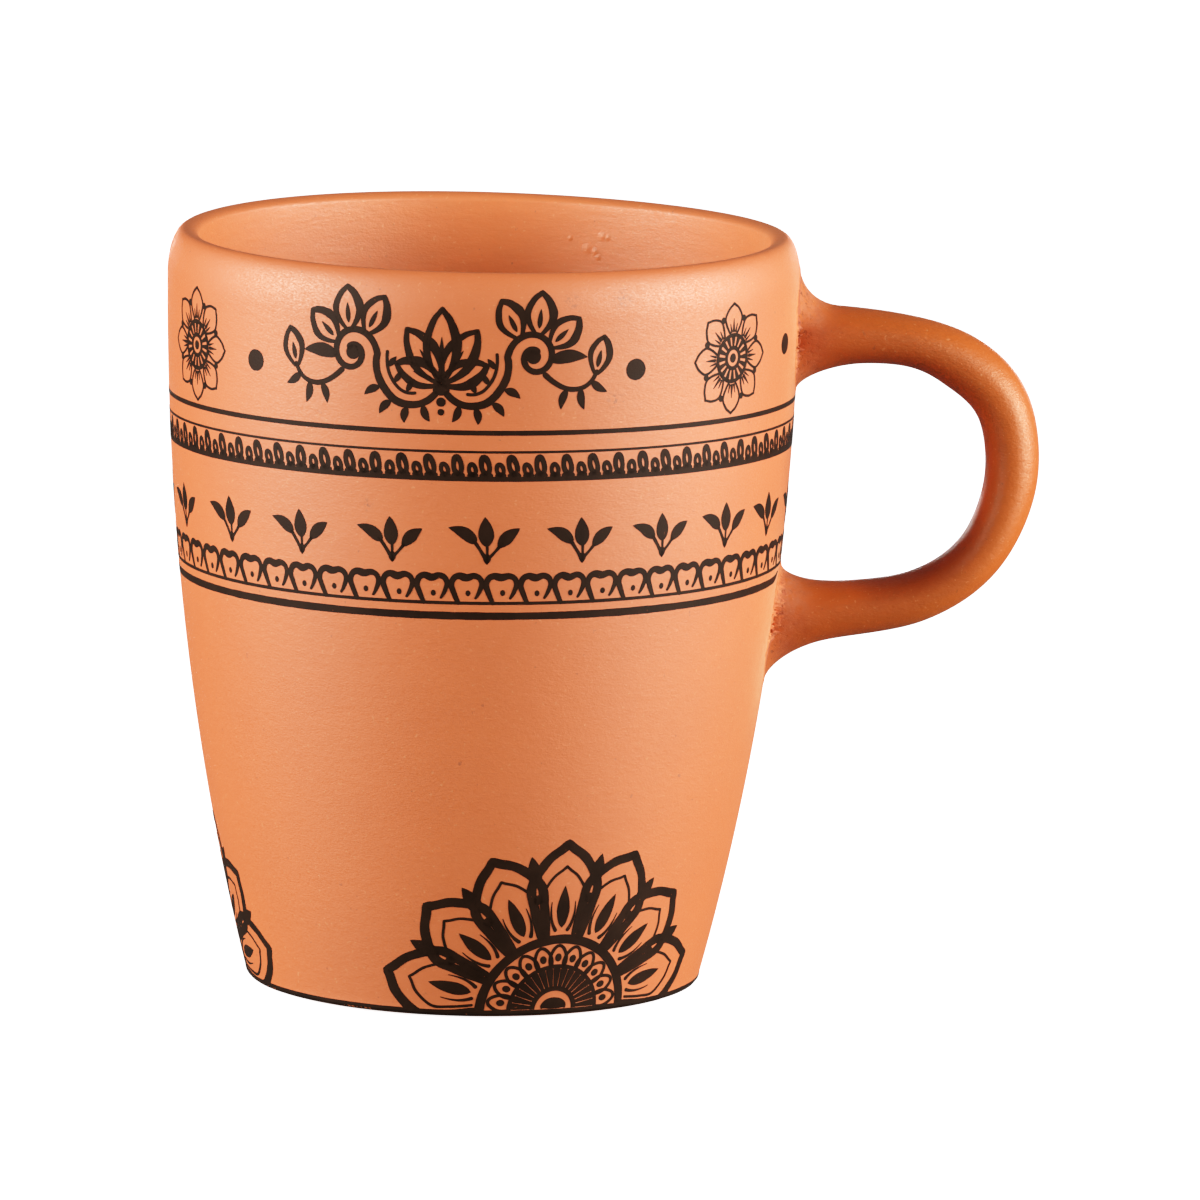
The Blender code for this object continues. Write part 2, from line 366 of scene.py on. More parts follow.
def make_handle():
    rings, near, facing = handle_rings()
    n, m = rings.shape[:2]
    faces = []
    at = lambda i, k: i * m + k % m
    for i in range(n - 1):
        for k in range(m):
            faces.append((at(i, k), at(i, k + 1), at(i + 1, k + 1),
                          at(i + 1, k)))
    verts = rings.reshape(-1, 3)
    # close both ends inside the wall
    ends = []
    for ring, inward in ((rings[0], 1), (rings[-1], -1)):
        mid = ring.mean(axis=0)
        ends.append(mid - np.array([1.2, 0.0, 0.0]))
    verts = np.vstack([verts, ends])
    for k in range(m):
        faces.append((n * m, at(0, k + 1), at(0, k)))
        faces.append((n * m + 1, at(n - 1, k), at(n - 1, k + 1)))
    obj = new_mesh("bowed_handle", to_world(verts), faces)
    near = np.clip(np.r_[near.reshape(-1), 0.0, 0.0], 0.0, None)
    up = verts[:, 2]
    high = up > 65.0
    # thin slip washed over the fillets, and painted shade in the crease between them
    above = np.where(high, smooth(83.5, 88.0, up), smooth(44.3, 49.0, up))
    below = np.where(high, smooth(80.0, 76.5, up), smooth(40.3, 37.5, up))
    wash = np.exp(-(near / 3.6) ** 2) * np.clip(0.12 + above + 0.6 * below, 0, 1)
    deep = (np.exp(-((near - 2.0) / 2.6) ** 2) * (1 - above)
            * (1 - 0.7 * below))
    outward = np.r_[np.tile(facing, n), 0.0, 0.0]
    out = verts[:, 0]
    shade = np.where(high, 0.6 * smooth(59.5, 53.0, out) * smooth(42.0, 46.0, out),
                     smooth(46.0, 52.0, out) * smooth(63.0, 57.0, up))
    # painted shade on the finger side of the arms, and painted light on the outer
    # side of the handle and over the whole bow
    paint(obj, "outward", np.maximum(outward, 0.85 * smooth(59.5, 64.5, out)))
    paint(obj, "inward", np.clip(-outward, 0.0, None) * shade)
    paint(obj, "root", np.exp(-near / 4.0))
    paint(obj, "wash", wash)
    paint(obj, "deep", deep)
    return obj, rings


def paint_near_roots(obj, seams):
    """How close each point of the wall is to the edge of a root."""
    pts = np.array([v.co for v in obj.data.vertices]) / MM
    near = np.full(len(pts), 99.0)
    paleness = np.zeros(len(pts))
    hot = np.nonzero(pts[:, 0] > 0.0)[0]
    for seam, much in seams:
        ring = to_world(seam) / MM
        gap = np.linalg.norm(pts[hot][:, None] - ring[None], axis=2).min(axis=1)
        near[hot] = np.minimum(near[hot], gap)
        side = 0.30 + 0.70 * smooth(2.5, 7.5, np.abs(pts[hot][:, 1]))
        paleness[hot] = np.maximum(paleness[hot], much * side * (
            0.56 * np.exp(-(gap / 5.0) ** 2) + 0.35 * np.exp(-gap / 8.0)))
    paint(obj, "paleness", paleness)
    # faint ridges where a finger smoothed the wall
    paint(obj, "ridge", np.cos(near * 2.4 - 1.2) * np.exp(-near / 3.2))


def make_seam(name, rings, seed, spread):
    """A thin ragged smear of slip along a root's edge, part on the wall and
    part on the handle; rings run from the wall out along the handle, and
    spread is how far the smear is drawn over the root's upper half."""
    n = 720
    m = rings.shape[1]
    t = np.arange(n) * m / n
    lo = np.floor(t).astype(int)
    f = (t - lo)[:, None]
    rows = np.array([r[lo % m] * (1 - f) + r[(lo + 1) % m] * f for r in rings])
    q = np.arange(n) * 2 * math.pi / n

    def unit(v):
        return v / np.maximum(np.linalg.norm(v, axis=-1), 1e-9)[..., None]

    seam = rows[0]
    mid = seam.mean(axis=0)
    round_ = unit(np.roll(seam, -1, axis=0) - np.roll(seam, 1, axis=0))
    flat = seam * np.array([1.0, 1.0, 0.0])
    lean = (skin_radius(seam[:, 2] + 0.1) - skin_radius(seam[:, 2] - 0.1)) / 0.2
    wall_n = unit(flat)
    wall_n[:, 2] = -lean
    wall_n = unit(wall_n)
    away = unit(np.cross(round_, wall_n))
    away *= np.sign(np.sum(away * (seam - mid), axis=1))[:, None]

    # how far the smear runs each way, with ragged edges
    out = 0.70 + 0.20 * wave(q * 2, seed) + 0.17 * ragged(q, seed, 4, 50)
    on = (0.62 + 0.20 * wave(q * 3, seed + 1.0)
          + 0.13 * ragged(q, seed + 3.0, 5, 48))
    # the smear runs furthest over the top of the root
    drawn = spread * smooth(mid[2] - 5.4, mid[2] + 1.2, seam[:, 2])
    on = on + drawn + 0.35 * smooth(mid[2] + 0.5, mid[2] + 5.0, seam[:, 2])
    out, on = np.clip(out, 0.20, None), np.clip(on, 0.16, None)
    # it stands proud only where the corner is deep
    climb = np.sum(unit(rows[4] - seam) * wall_n, axis=1)
    lump = ((1.0 + 0.34 * ragged(q, seed + 6.0, 5, 80))
            * (0.15 + 0.85 * smooth(0.30, 0.90, climb)))

    def wall_point(k, lift):
        p = seam + away * (out * k)[:, None]
        r = np.hypot(p[:, 0], p[:, 1])
        w = skin_radius(p[:, 2])
        p = p * np.stack([w / r, w / r, np.ones(n)], axis=-1)
        return p + wall_n * np.reshape(lift, (-1, 1))

    step = np.linalg.norm(np.diff(rows, axis=0), axis=2)
    dist = np.vstack([np.zeros(n), np.cumsum(step, axis=0)])

    def handle_point(k, lift):
        p = np.zeros((n, 3))
        along = np.zeros((n, 3))
        for i in range(n):
            want = on[i] * k
            for j in range(3):
                p[i, j] = np.interp(want, dist[:, i], rows[:, i, j])
                along[i, j] = np.interp(want + 0.1, dist[:, i], rows[:, i, j])
        along = unit(along - p)
        normal = unit(np.cross(unit(np.roll(p, -1, 0) - np.roll(p, 1, 0)), along))
        normal *= np.sign(np.sum(normal * (p - p.mean(axis=0)), axis=1))[:, None]
        return p + normal * np.reshape(lift, (-1, 1))

    one = np.ones(n)
    section = [wall_point(1.0, -0.02 * one), wall_point(0.70, 0.035 * lump),
               wall_point(0.34, 0.160 * lump),
               0.5 * (wall_point(0.10, 0.25 * lump)
                      + handle_point(0.10, 0.25 * lump)),
               handle_point(0.34, 0.140 * lump),
               handle_point(0.70, 0.034 * lump), handle_point(1.0, -0.02 * one),
               handle_point(0.6, -0.16 * one), wall_point(0.6, -0.16 * one)]
    grid = np.stack(section, axis=1)
    m = grid.shape[1]
    at = lambda i, k: (i % n) * m + k % m
    faces = [(at(i, k), at(i + 1, k), at(i + 1, k + 1), at(i, k + 1))
             for i in range(n) for k in range(m)]
    obj = new_mesh(name, to_world(grid.reshape(-1, 3)), faces)
    # feather edges: the shading runs flat onto the wall and the handle
    crease = obj.data.attributes.new("sharp_edge", "BOOLEAN", "EDGE")
    ends = np.array([e.vertices[:] for e in obj.data.edges]) % m
    crease.data.foreach_set("value", (ends[:, 0] == ends[:, 1])
                            & ((ends[:, 0] == 0) | (ends[:, 0] == 6)))
    across = np.array([0.0, 0.15, 0.35, 0.55, 0.75, 0.9, 1.0, 0.8, 0.2])
    paint(obj, "across", np.tile(across, n) - 0.45 * np.repeat(drawn, m))
    return obj


# ------------------------------------------------------------------ the print
INK_TOP, INK_LOW = 0.035, -0.03


def print_lift(phi, z):
    """The transfer lies a little uneven round the wall, mm up."""
    p = np.radians(phi)
    high = 0.62 * (np.cos(p - math.radians(20)) - 0.72)
    low = 0.25 * np.sin(p - math.radians(5))
    k = smooth(58.0, 70.0, z)
    fade = smooth(26.0, 50.0, z) * (1 - smooth(84.0, 92.0, z))
    return fade * (high * k + low * (1 - k))


class Ink:
    """Flat strokes drawn in mm on the unrolled wall, laid on the cup."""

    def __init__(self):
        self.verts, self.faces, self.count = [], [], 0

    def lay(self, phi0, z0, u, v, off):
        u, v = np.asarray(u, dtype=float), np.asarray(v, dtype=float)
        # go up the wall's own slope, and round at the radius there
        z = z0 + v * 0.985 if z0 < 40 else z0 + v
        phi = phi0 + np.degrees(u / wall_radius(z))
        # nothing is printed past the rounded edge of the foot
        return skin(phi, np.maximum(z + print_lift(phi, z), 0.12), off)

    def stroke(self, phi0, z0, pts, width, closed=False, caps=True, span=0.0):
        """A band of the given widths along a chain of points; a ring right
        round the wall gives its span."""
        p = np.asarray(pts, dtype=float)
        w = np.broadcast_to(np.asarray(width, dtype=float), (len(p),)).copy()
        if closed:
            ahead, behind = np.roll(p, -1, axis=0), np.roll(p, 1, axis=0)
            ahead[-1, 0] += span
            behind[0, 0] -= span
            t = ahead - behind
        else:
            t = np.gradient(p, axis=0)
        t /= np.maximum(np.linalg.norm(t, axis=1), 1e-9)[:, None]
        if not closed and len(p) > 8:
            run = np.r_[0, np.cumsum(np.linalg.norm(np.diff(p, axis=0), axis=1))]
            w *= 1 + 0.05 * wave(run * 1.7, self.count * 0.013)
        if not closed and caps:
            a = np.radians([25.0, 48.0, 66.0, 80.0])
            head = [(p[0] - t[0] * w[0] / 2 * math.sin(x), w[0] * math.cos(x))
                    for x in a[::-1]]
            tail = [(p[-1] + t[-1] * w[-1] / 2 * math.sin(x),
                     w[-1] * math.cos(x)) for x in a]
            p = np.vstack([[h[0] for h in head], p, [h[0] for h in tail]])
            w = np.r_[[h[1] for h in head], w, [h[1] for h in tail]]
            t = np.vstack([np.repeat(t[:1], 4, 0), t, np.repeat(t[-1:], 4, 0)])
        side = np.stack([-t[:, 1], t[:, 0]], axis=-1)
        left, right = p + side * w[:, None] / 2, p - side * w[:, None] / 2
        rows = [self.lay(phi0, z0, q[:, 0], q[:, 1], h) for q, h in
                ((left, INK_TOP), (p, INK_TOP), (right, INK_TOP),
                 (right, INK_LOW), (left, INK_LOW))]
        n = len(p)
        block = np.stack(rows, axis=1).reshape(-1, 3)
        b = self.count
        at = lambda i, k: b + (i % n) * 5 + k % 5
        for i in range(n if closed else n - 1):
            for k in range(5):
                self.faces.append((at(i, k), at(i, k + 1), at(i + 1, k + 1),
                                   at(i + 1, k)))
        if not closed:
            self.faces.append(tuple(at(0, k) for k in (4, 3, 2, 1, 0)))
            self.faces.append(tuple(at(n - 1, k) for k in range(5)))
        self.verts.append(block)
        self.count += len(block)

    def dot(self, phi0, z0, u, v, rx, ry=None, turn=0.0):
        ry = rx if ry is None else ry
        x = -np.cos(np.linspace(0.02, math.pi - 0.02, 15))
        w = 2 * np.sqrt(1 - x * x)
        c, s = math.cos(turn), math.sin(turn)
        pts = np.stack([u + x * rx * c, v + x * rx * s], axis=-1)
        self.stroke(phi0, z0, pts, w * ry, caps=False)

    def leaf(self, phi0, z0, base, tip, width, bend=0.0, blunt=0.42):
        """A filled leaf from base to tip."""
        base, tip = np.asarray(base, float), np.asarray(tip, float)
        t = np.linspace(0, 1, 17)
        along = tip - base
        side = np.array([-along[1], along[0]])
        pts = base + along * t[:, None] + side * (bend * np.sin(math.pi * t)
                                                  )[:, None]
        k = math.log(0.5) / math.log(blunt)
        w = width * np.sin(math.pi * t ** k) ** 0.85 + 0.03
        self.stroke(phi0, z0, pts, w, caps=False)

    def line(self, z, width, start=0.0, end=360.0):
        """A ring line round the wall, or part of one with rounded ends."""
        whole = abs(end - start) >= 360.0
        n = 300
        phi = np.linspace(start, end, n, endpoint=not whole)
        r = float(wall_radius(z))
        pts = np.stack([np.radians(phi - start) * r, np.zeros(n)], axis=-1)
        w = width * (1 + 0.06 * wave(np.radians(phi) * 11, z))
        if not whole:
            # the ends run out to a point
            t = np.clip(np.minimum(phi - start, end - phi) / 5.5, 0.0, 1.0)
            w = w * (0.10 + 0.90 * np.sin(t * math.pi / 2))
            pts[:, 1] += 0.75 * width * (1 - t) ** 2
        self.stroke(start, z, pts, w, closed=whole,
                    span=2 * math.pi * r if whole else 0.0)

    def build(self, name):
        obj = new_mesh(name, to_world(np.vstack(self.verts)), self.faces,
                       smooth=False)
        return obj


class Pen:
    """Draws the same strokes a little larger or bolder."""

    def __init__(self, ink, wide, tall, bold=1.0):
        self.ink, self.size, self.bold = ink, np.array((wide, tall)), bold

    def stroke(self, phi, z, pts, width, **kw):
        self.ink.stroke(phi, z, np.asarray(pts) * self.size,
                        np.asarray(width) * self.bold, **kw)

    def leaf(self, phi, z, base, tip, width, bend=0.0, blunt=0.42):
        self.ink.leaf(phi, z, np.asarray(base) * self.size,
                      np.asarray(tip) * self.size, width * self.bold, bend,
                      blunt)

    def dot(self, phi, z, u, v, rx, ry=None, turn=0.0):
        ry = rx if ry is None else ry
        self.ink.dot(phi, z, u * self.size[0], v * self.size[1],
                     rx * self.bold, ry * self.bold, turn)


def stretched(phi, amount=1.7):
    """The transfer was pulled a little wider on the left than on the right."""
    return phi + amount * (math.cos(math.radians(phi)) - 1.0)


def spline(points, gap=0.3):
    """A smooth chain through a few points, at an even spacing."""
    k = np.asarray(points, dtype=float)
    m = np.zeros_like(k)
    m[1:-1] = (k[2:] - k[:-2]) / 2
    m[0] = 2 * (k[1] - k[0]) - m[1] if len(k) > 2 else k[1] - k[0]
    m[-1] = 2 * (k[-1] - k[-2]) - m[-2] if len(k) > 2 else k[-1] - k[-2]
    out = []
    for i in range(len(k) - 1):
        n = max(4, int(np.linalg.norm(k[i + 1] - k[i]) / gap) + 1)
        for t in np.arange(n) / n:
            out.append(k[i] * (2 * t ** 3 - 3 * t ** 2 + 1)
                       + m[i] * (t ** 3 - 2 * t ** 2 + t)
                       + k[i + 1] * (-2 * t ** 3 + 3 * t ** 2)
                       + m[i + 1] * (t ** 3 - t ** 2))
    out.append(k[-1])
    return np.array(out)


def width_along(count, *stops):
    """Widths along a chain, evenly between the stops."""
    return np.interp(np.linspace(0, 1, count), np.linspace(0, 1, len(stops)),
                     stops)


def turned(points, angle, at=(0.0, 0.0), scale=1.0, flip=1.0):
    p = np.asarray(points, dtype=float) * scale
    p = p * np.array([flip, 1.0])
    c, s = math.cos(angle), math.sin(angle)
    return np.stack([p[:, 0] * c - p[:, 1] * s + at[0],
                     p[:, 0] * s + p[:, 1] * c + at[1]], axis=-1)


def print_lines():
    ink = Ink()
    ink.line(75.55, 0.62)
    ink.line(73.15, 0.32)
    ink.line(69.76, 0.62)
    ink.line(54.18, 0.42)
    # the lowest band stops short of the handle's lower root on both sides
    ink.line(52.55, 0.96, 90.0 + 8.2, 90.0 + 351.8)
    # a last line on the edge of the foot
    ink.line(0.55, 0.76)
    return ink.build("print_ring_lines")


def print_loops(count=72):
    """Edging of tall and short loops standing close together on a strip."""
    ink = Ink()
    a = np.linspace(0, 2 * math.pi, 28, endpoint=False)
    up_only = np.sin(a) ** 2
    pitch = 360.0 / count
    for i in range(count):
        lean = 0.17 + 0.06 * math.sin(i * 2.1)
        for shift, rx, ry, up, side, top, low, foot in (
                (0.0, 0.48, 1.03, 1.68, 0.64, 0.84, 0.70, 0.86),
                (0.535, 0.42, 0.66, 1.19, 0.54, 0.60, 0.60, 0.70)):
            phi = stretched(pitch * (i + shift) + 0.8)
            x = rx * np.cos(a) * (1 - 0.10 * np.sin(a)) - lean * ry * np.sin(a)
            pts = np.stack([x, ry * np.sin(a) + up], axis=-1)
            ends = np.where(np.sin(a) > 0, top, low)
            wd = side + (ends - side) * up_only
            wd = wd * (1 + 0.05 * np.sin(3 * a + i))
            ink.stroke(phi, 69.76, pts, wd, closed=True)
            # the loop's foot spreads into the strip
            ink.dot(phi, 69.76, lean * ry * 0.8, 0.44, foot, 0.46)
    return ink.build("print_loop_edging")


def print_sprigs():
    """A row of three-leaved sprigs, spaced as listed."""
    ink = Ink()
    places = [-72.4, -53.0, -34.7, -16.2, 1.4, 19.2, 35.8, 52.2, 68.3]
    places += list(np.linspace(68.3, 360.0 - 72.4, 14)[1:-1])
    for i, phi in enumerate(places):
        z = 59.25
        k = 1.0 + 0.03 * math.sin(i * 1.9)
        s = lambda pts: spline(np.array(pts) * k)
        left = s([(0.0, 0.25), (-0.72, 1.45), (-1.62, 2.75)])
        ink.stroke(phi, z, left, width_along(len(left), 0.56, 0.42, 0.50))
        ink.leaf(phi, z, np.array((-1.30, 2.40)) * k, np.array((-4.70, 4.30)) * k,
                 1.50 * k, bend=-0.10, blunt=0.38)
        mid = s([(0.0, 0.2), (0.02, 1.1), (-0.02, 2.4)])
        ink.stroke(phi, z, mid, width_along(len(mid), 0.46, 0.32, 0.40))
        ink.leaf(phi, z, np.array((-0.02, 1.95)) * k, np.array((-0.32, 5.62)) * k,
                 1.86 * k, blunt=0.42)
        right = s([(0.08, 0.55), (0.80, 1.25), (1.62, 2.25)])
        ink.stroke(phi, z, right, width_along(len(right), 0.46, 0.34, 0.44))
        ink.leaf(phi, z, np.array((1.30, 1.85)) * k, np.array((3.90, 4.25)) * k,
                 1.52 * k, bend=0.06, blunt=0.46)
        ink.leaf(phi, z, (0.0, 1.25), (0.0, -0.16), 0.92, blunt=0.45)
    return ink.build("print_leaf_sprigs")


def print_scallops(count=56):
    """A row of joined arches with a wavy underside and a dot in each."""
    ink = Ink()
    for i in range(count):
        phi = stretched(360.0 / count * i - 2.0) - 3.5
        j = 0.06 * math.sin(i * 1.7)
        path = spline([(1.12, 0.05), (0.60, 1.25), (0.27, 2.30), (0.58, 3.16),
                       (1.25, 3.47), (2.15, 3.24 + j), (3.05, 3.48),
                       (3.76, 3.20), (4.05, 2.45), (3.74, 1.45),
                       (3.30, 0.66)], 0.22)
        w = width_along(len(path), 0.58, 0.68, 0.74, 0.76, 0.82, 1.02, 0.84,
                        0.74, 0.66, 0.54, 0.34)
        ink.stroke(phi, 54.18, path, w)
        ink.dot(phi, 54.18, 2.34, 1.27 + j, 0.31, 0.38)
    return ink.build("print_scallop_row")


def petal_outline(base, length, wide, shape=1.0, tip=0.0):
    """Both sides of an upright ogee petal: foot, belly, pointed tip."""
    left = spline([(-base, 0.0), (-wide * 0.86, length * 0.30),
                   (-wide, length * 0.55), (-wide * 0.60, length * 0.82),
                   (-wide * 0.16 * shape, length * 0.95), (tip, length)], 0.3)
    right = left[::-1] * np.array([-1.0, 1.0])
    return np.vstack([left, right[1:]])


def print_rosettes(places):
    """Small round rosettes of the upper row."""
    ink = Ink()
    for phi, z, size in places:
        n = 8
        for i in range(n):
            ang = 2 * math.pi * i / n
            out = petal_outline(0.55, 3.35, 1.42)
            p = turned(out + np.array([0.0, 2.65]), ang, scale=size)
            ink.stroke(phi, z, p, 0.28 * size)
            vein = turned(spline([(0.0, 3.0), (0.0, 4.3)]), ang, scale=size)
            ink.stroke(phi, z, vein, width_along(len(vein), 0.40, 0.08) * size)
            for sgn in (-1, 1):
                fine = turned(spline([(0.36 * sgn, 2.9), (0.58 * sgn, 3.75)]),
                              ang, scale=size)
                ink.stroke(phi, z, fine, width_along(len(fine), 0.28, 0.08)
                           * size)
            # beads between the petals
            mid = ang + math.pi / n
            ink.dot(phi, z, -4.6 * size * math.sin(mid),
                    4.6 * size * math.cos(mid), 0.36 * size)
        a = np.linspace(0, 2 * math.pi, 48, endpoint=False)
        for r, w in ((2.52, 0.44), (1.12, 0.46)):
            ink.stroke(phi, z, np.stack([r * np.cos(a), r * np.sin(a)], -1)
                       * size, w * size, closed=True)
        for i in range(16):
            b = 2 * math.pi * i / 16
            ray = np.outer(np.linspace(1.3, 2.4, 5), (math.cos(b), math.sin(b)))
            ink.stroke(phi, z, ray * size,
                       width_along(5, 0.30, 0.62) * size)
        ink.dot(phi, z, 0, 0, 0.50 * size)
    return ink.build("print_rosettes")


def print_dots(places):
    ink = Ink()
    for phi, z in places:
        ink.dot(phi, z, 0.0, 0.0, 1.36)
    return ink.build("print_dots")


def spiral(turns, r0, r1, start, hand):
    """A chain from the outside of a volute to its eye."""
    t = np.linspace(0, 1, int(38 * turns))
    r = r0 + (r1 - r0) * t ** 0.8
    a = start + hand * 2 * math.pi * turns * t
    return np.stack([r * np.cos(a), r * np.sin(a)], axis=-1)


def print_scrolls(places):
    """A mirrored pair of volutes with leaves, either side of a palmette."""
    ink = Ink()
    pen = Pen(ink, 1.0, 1.08)

    def frond(phi, z, base, lean, length, wide, edge):
        """An outlined leaf with a dark side and a short vein."""
        p = turned(petal_outline(0.25, length, wide), lean, at=base)
        half = len(p) // 2
        w = np.r_[width_along(half, 0.45, edge, 0.55),
                  width_along(len(p) - half, 0.55, edge * 1.3, 0.45)]
        pen.stroke(phi, z, p, w)
        vein = turned([(0.0, 0.16 * length), (0.0, 0.62 * length)], lean,
                      at=base)
        pen.leaf(phi, z, vein[0], vein[1], 0.62)

    for phi, z in places:
        # middle palmette: five fronds on a stem
        for ang, length, wide in ((0.0, 8.7, 1.85), (0.62, 7.6, 1.60),
                                  (-0.62, 7.6, 1.60), (1.22, 6.1, 1.30),
                                  (-1.22, 6.1, 1.30)):
            frond(phi, z, (0.0, 3.9), ang, length, wide, 1.02)
        pen.dot(phi, z, 0.0, 3.1, 1.05, 0.72)
        pen.dot(phi, z, 0.0, 1.70, 0.60)
        pen.dot(phi, z, 0.0, 0.52, 0.42)
        for f in (-1.0, 1.0):
            m = np.array([f, 1.0])
            # stem from the palmette's foot, up and over into the volute
            stem = spline([(0.75, 2.6), (3.0, 1.35), (5.8, 1.75), (7.9, 4.2),
                           (8.2, 6.9)])
            curl = spiral(1.32, 3.35, 0.75, math.pi, -1) + np.array((11.5, 7.0))
            whole = np.vstack([stem[:-1], curl]) * m
            pen.stroke(phi, z, whole,
                       width_along(len(whole), 0.85, 1.02, 0.86, 0.76, 0.90))
            pen.dot(phi, z, *((np.array((11.4, 7.05))) * m), 0.92)
            # inner line that follows the stem, with small leaflets
            inner = spline([(3.3, 2.65), (5.2, 3.05), (6.6, 4.9), (6.85, 7.3)])
            pen.stroke(phi, z, inner * m, 0.42)
            for base, tip in (((4.3, 2.8), (3.5, 4.3)), ((5.9, 3.8), (4.9, 5.2)),
                              ((6.7, 5.6), (5.7, 6.8))):
                pen.leaf(phi, z, np.array(base) * m, np.array(tip) * m, 0.74)
            # leaves off the volute
            for base, way, length, wide in (((9.65, 9.30), 118, 4.9, 1.45),
                                            ((11.95, 9.60), 84, 5.0, 1.60),
                                            ((13.50, 8.25), 42, 4.9, 1.45)):
                frond(phi, z, np.array(base) * m, math.radians(way - 90) * f,
                      length, wide, 0.88)
            pen.leaf(phi, z, np.array((13.4, 6.5)) * m,
                     np.array((18.3, 6.9)) * m, 1.75, 0.08 * f)
            # leaflets along the stem
            for base, tip in (((2.2, 1.3), (1.4, -0.6)),
                              ((4.2, 1.05), (4.6, -0.85)),
                              ((6.3, 1.65), (7.8, 0.1)),
                              ((7.8, 3.2), (9.8, 2.2))):
                pen.leaf(phi, z, np.array(base) * m, np.array(tip) * m, 1.0,
                         0.10 * f)
            # outer tendril with a leaf
            out = spline([(12.9, 4.9), (15.6, 3.3), (18.0, 3.5), (19.5, 5.2)])
            pen.stroke(phi, z, out * m, width_along(len(out), 0.72, 0.66, 0.50))
            frond(phi, z, np.array((19.4, 5.0)) * m, math.radians(-14) * f, 4.4,
                  1.25, 0.74)
            for base, tip in (((15.7, 3.2), (14.9, 0.9)),
                              ((17.5, 3.3), (17.9, 0.8)),
                              ((18.8, 4.2), (20.9, 2.8))):
                pen.leaf(phi, z, np.array(base) * m, np.array(tip) * m, 1.02,
                         -0.08 * f)
    return ink.build("print_scrolls")


def print_medallions(places):
    """Large half-round lotus medallions standing on the foot line."""
    sheet = Ink()
    ink = Pen(sheet, 1.08, 1.08, 1.08)
    for phi, z in places:
        n = 7
        span = math.pi / n
        for i in range(n):
            ang = math.pi / 2 - span * (i + 0.5)
            # bold pointed petal with a second line inside it
            p = turned(petal_outline(2.35, 11.4, 4.05) + np.array((0.0, 9.2)),
                       ang)
            ink.stroke(phi, z, p, 1.14)
            q = turned(petal_outline(1.55, 8.2, 2.75) + np.array((0.0, 9.6)),
                       ang)
            ink.stroke(phi, z, q, 0.34)
            ends = turned([(0.0, 10.2), (0.0, 15.4)], ang)
            ink.leaf(phi, z, ends[0], ends[1], 1.5)
            for sgn in (-1, 1):
                fine = turned(spline([(0.75 * sgn, 9.9), (1.35 * sgn, 11.4),
                                      (1.45 * sgn, 13.4)]), ang)
                ink.stroke(phi, z, fine, width_along(len(fine), 0.46, 0.10))
        for i in range(1, n):
            ang = math.pi / 2 - span * i
            # a leaf tip and a bead in each gap between the petals
            ends = turned([(0.0, 15.6), (0.0, 19.6)], ang)
            ink.leaf(phi, z, ends[0], ends[1], 1.7)
            ink.dot(phi, z, *turned([(0.0, 14.1)], ang)[0], 0.62)
        # rings: arches, beads and a dark rayed middle
        half = np.linspace(0.0, math.pi, 90)
        ring = lambda r: np.stack([r * np.cos(half), r * np.sin(half)], -1)
        for r, w in ((8.75, 1.15), (5.35, 0.50), (2.55, 0.60)):
            ink.stroke(phi, z, ring(r), w, caps=False)
        arches = 11
        for i in range(arches):
            ang = math.pi / 2 - math.pi / arches * (i + 0.5)
            arch = turned(spline([(-0.88, 0.0), (-0.98, 1.1), (-0.55, 2.1),
                                  (0.0, 2.45), (0.55, 2.1), (0.98, 1.1),
                                  (0.88, 0.0)]) + np.array((0.0, 5.5)), ang)
            ink.stroke(phi, z, arch, 0.40)
            ink.dot(phi, z, *turned([(0.0, 6.45)], ang)[0], 0.40, 0.50,
                    turn=ang)
        rays = 17
        for i in range(rays):
            ang = math.pi / 2 - math.pi / rays * (i + 0.5)
            ray = turned(np.stack([np.zeros(6), np.linspace(2.8, 4.9, 6)], -1),
                         ang)
            ink.stroke(phi, z, ray, width_along(6, 0.42, 0.86))
        x = -np.cos(np.linspace(0.02, math.pi - 0.02, 19)) * 1.45
        h = np.sqrt(np.clip(1.45 ** 2 - x * x, 0, None))
        ink.stroke(phi, z, np.stack([x, h / 2], -1), h + 0.02, caps=False)
    return sheet.build("print_medallions")


